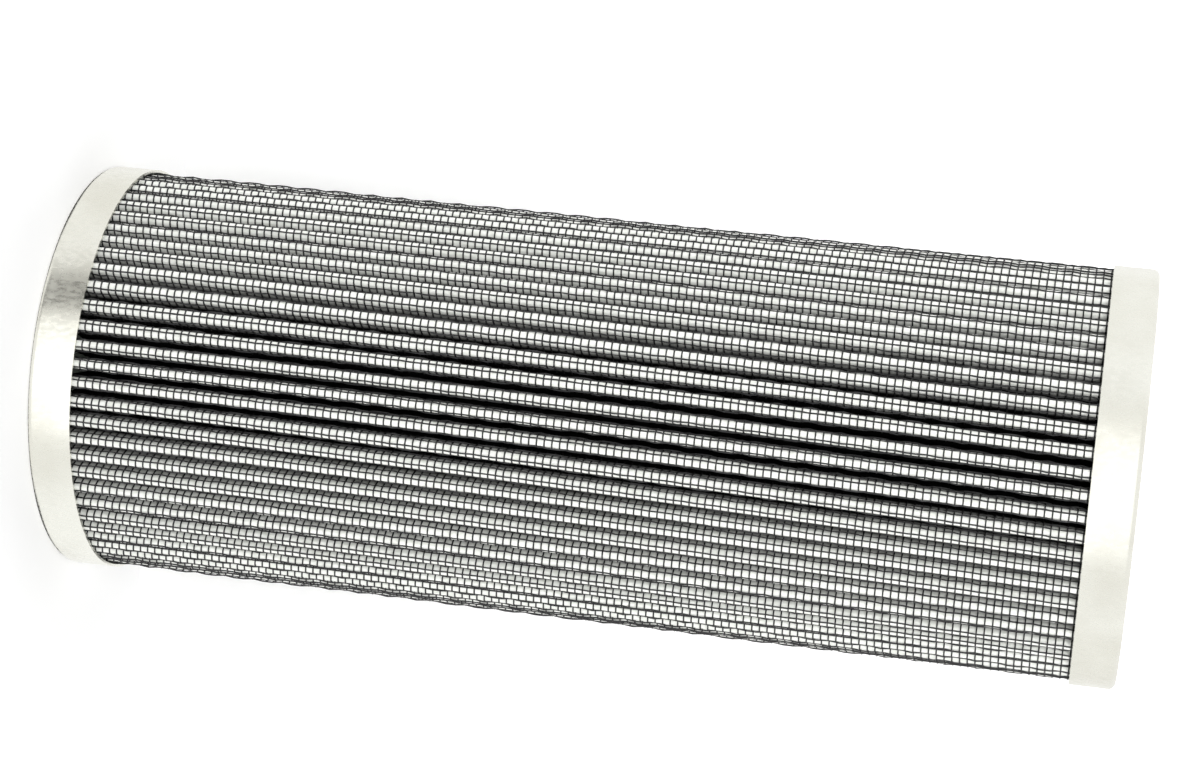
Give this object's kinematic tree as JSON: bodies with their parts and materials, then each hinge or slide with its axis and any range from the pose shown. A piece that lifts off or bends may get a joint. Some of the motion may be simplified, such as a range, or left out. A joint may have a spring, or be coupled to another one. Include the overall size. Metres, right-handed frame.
{
  "type": "pleated filter element",
  "caption": "Upright cylindrical filter element: a pleated mesh-covered pack around a perforated core, between a closed and an open stamped end cap with an outlet bore.",
  "frame": {"origin": "centre of the closed end cap's bottom face, on the element's axis", "axes": "+Z along the element's axis from the closed end to the open end; the pack's side seam is at +Y"},
  "size_m": [0.078, 0.078, 0.2015],
  "materials": {
    "end_cap_steel": "satin tinned sheet",
    "core_steel": "dull zinc plated",
    "coated_mesh": "black epoxy-coated wire",
    "pale_scrim": "matt spun fibre",
    "glass_fibre_media": "matt felted fibre",
    "potting_epoxy": "cast epoxy",
    "collar_aluminium": "turned",
    "seal_rubber": "smooth"
  },
  "bodies": {
    "root": {"closed_end_cap": "end_cap_steel", "open_end_cap": "end_cap_steel", "core_tube": "core_steel", "outer_support_mesh": "coated_mesh", "upstream_scrim": "pale_scrim", "prefilter_layer": "glass_fibre_media", "fine_media_layer": "glass_fibre_media", "downstream_scrim": "pale_scrim", "inner_support_mesh": "coated_mesh", "side_seam_clip": "core_steel", "side_seam_glue": "potting_epoxy", "closed_end_potting": "potting_epoxy", "open_end_potting": "potting_epoxy", "outlet_collar": "collar_aluminium", "outlet_o_ring": "seal_rubber"}
  },
  "joints": []
}
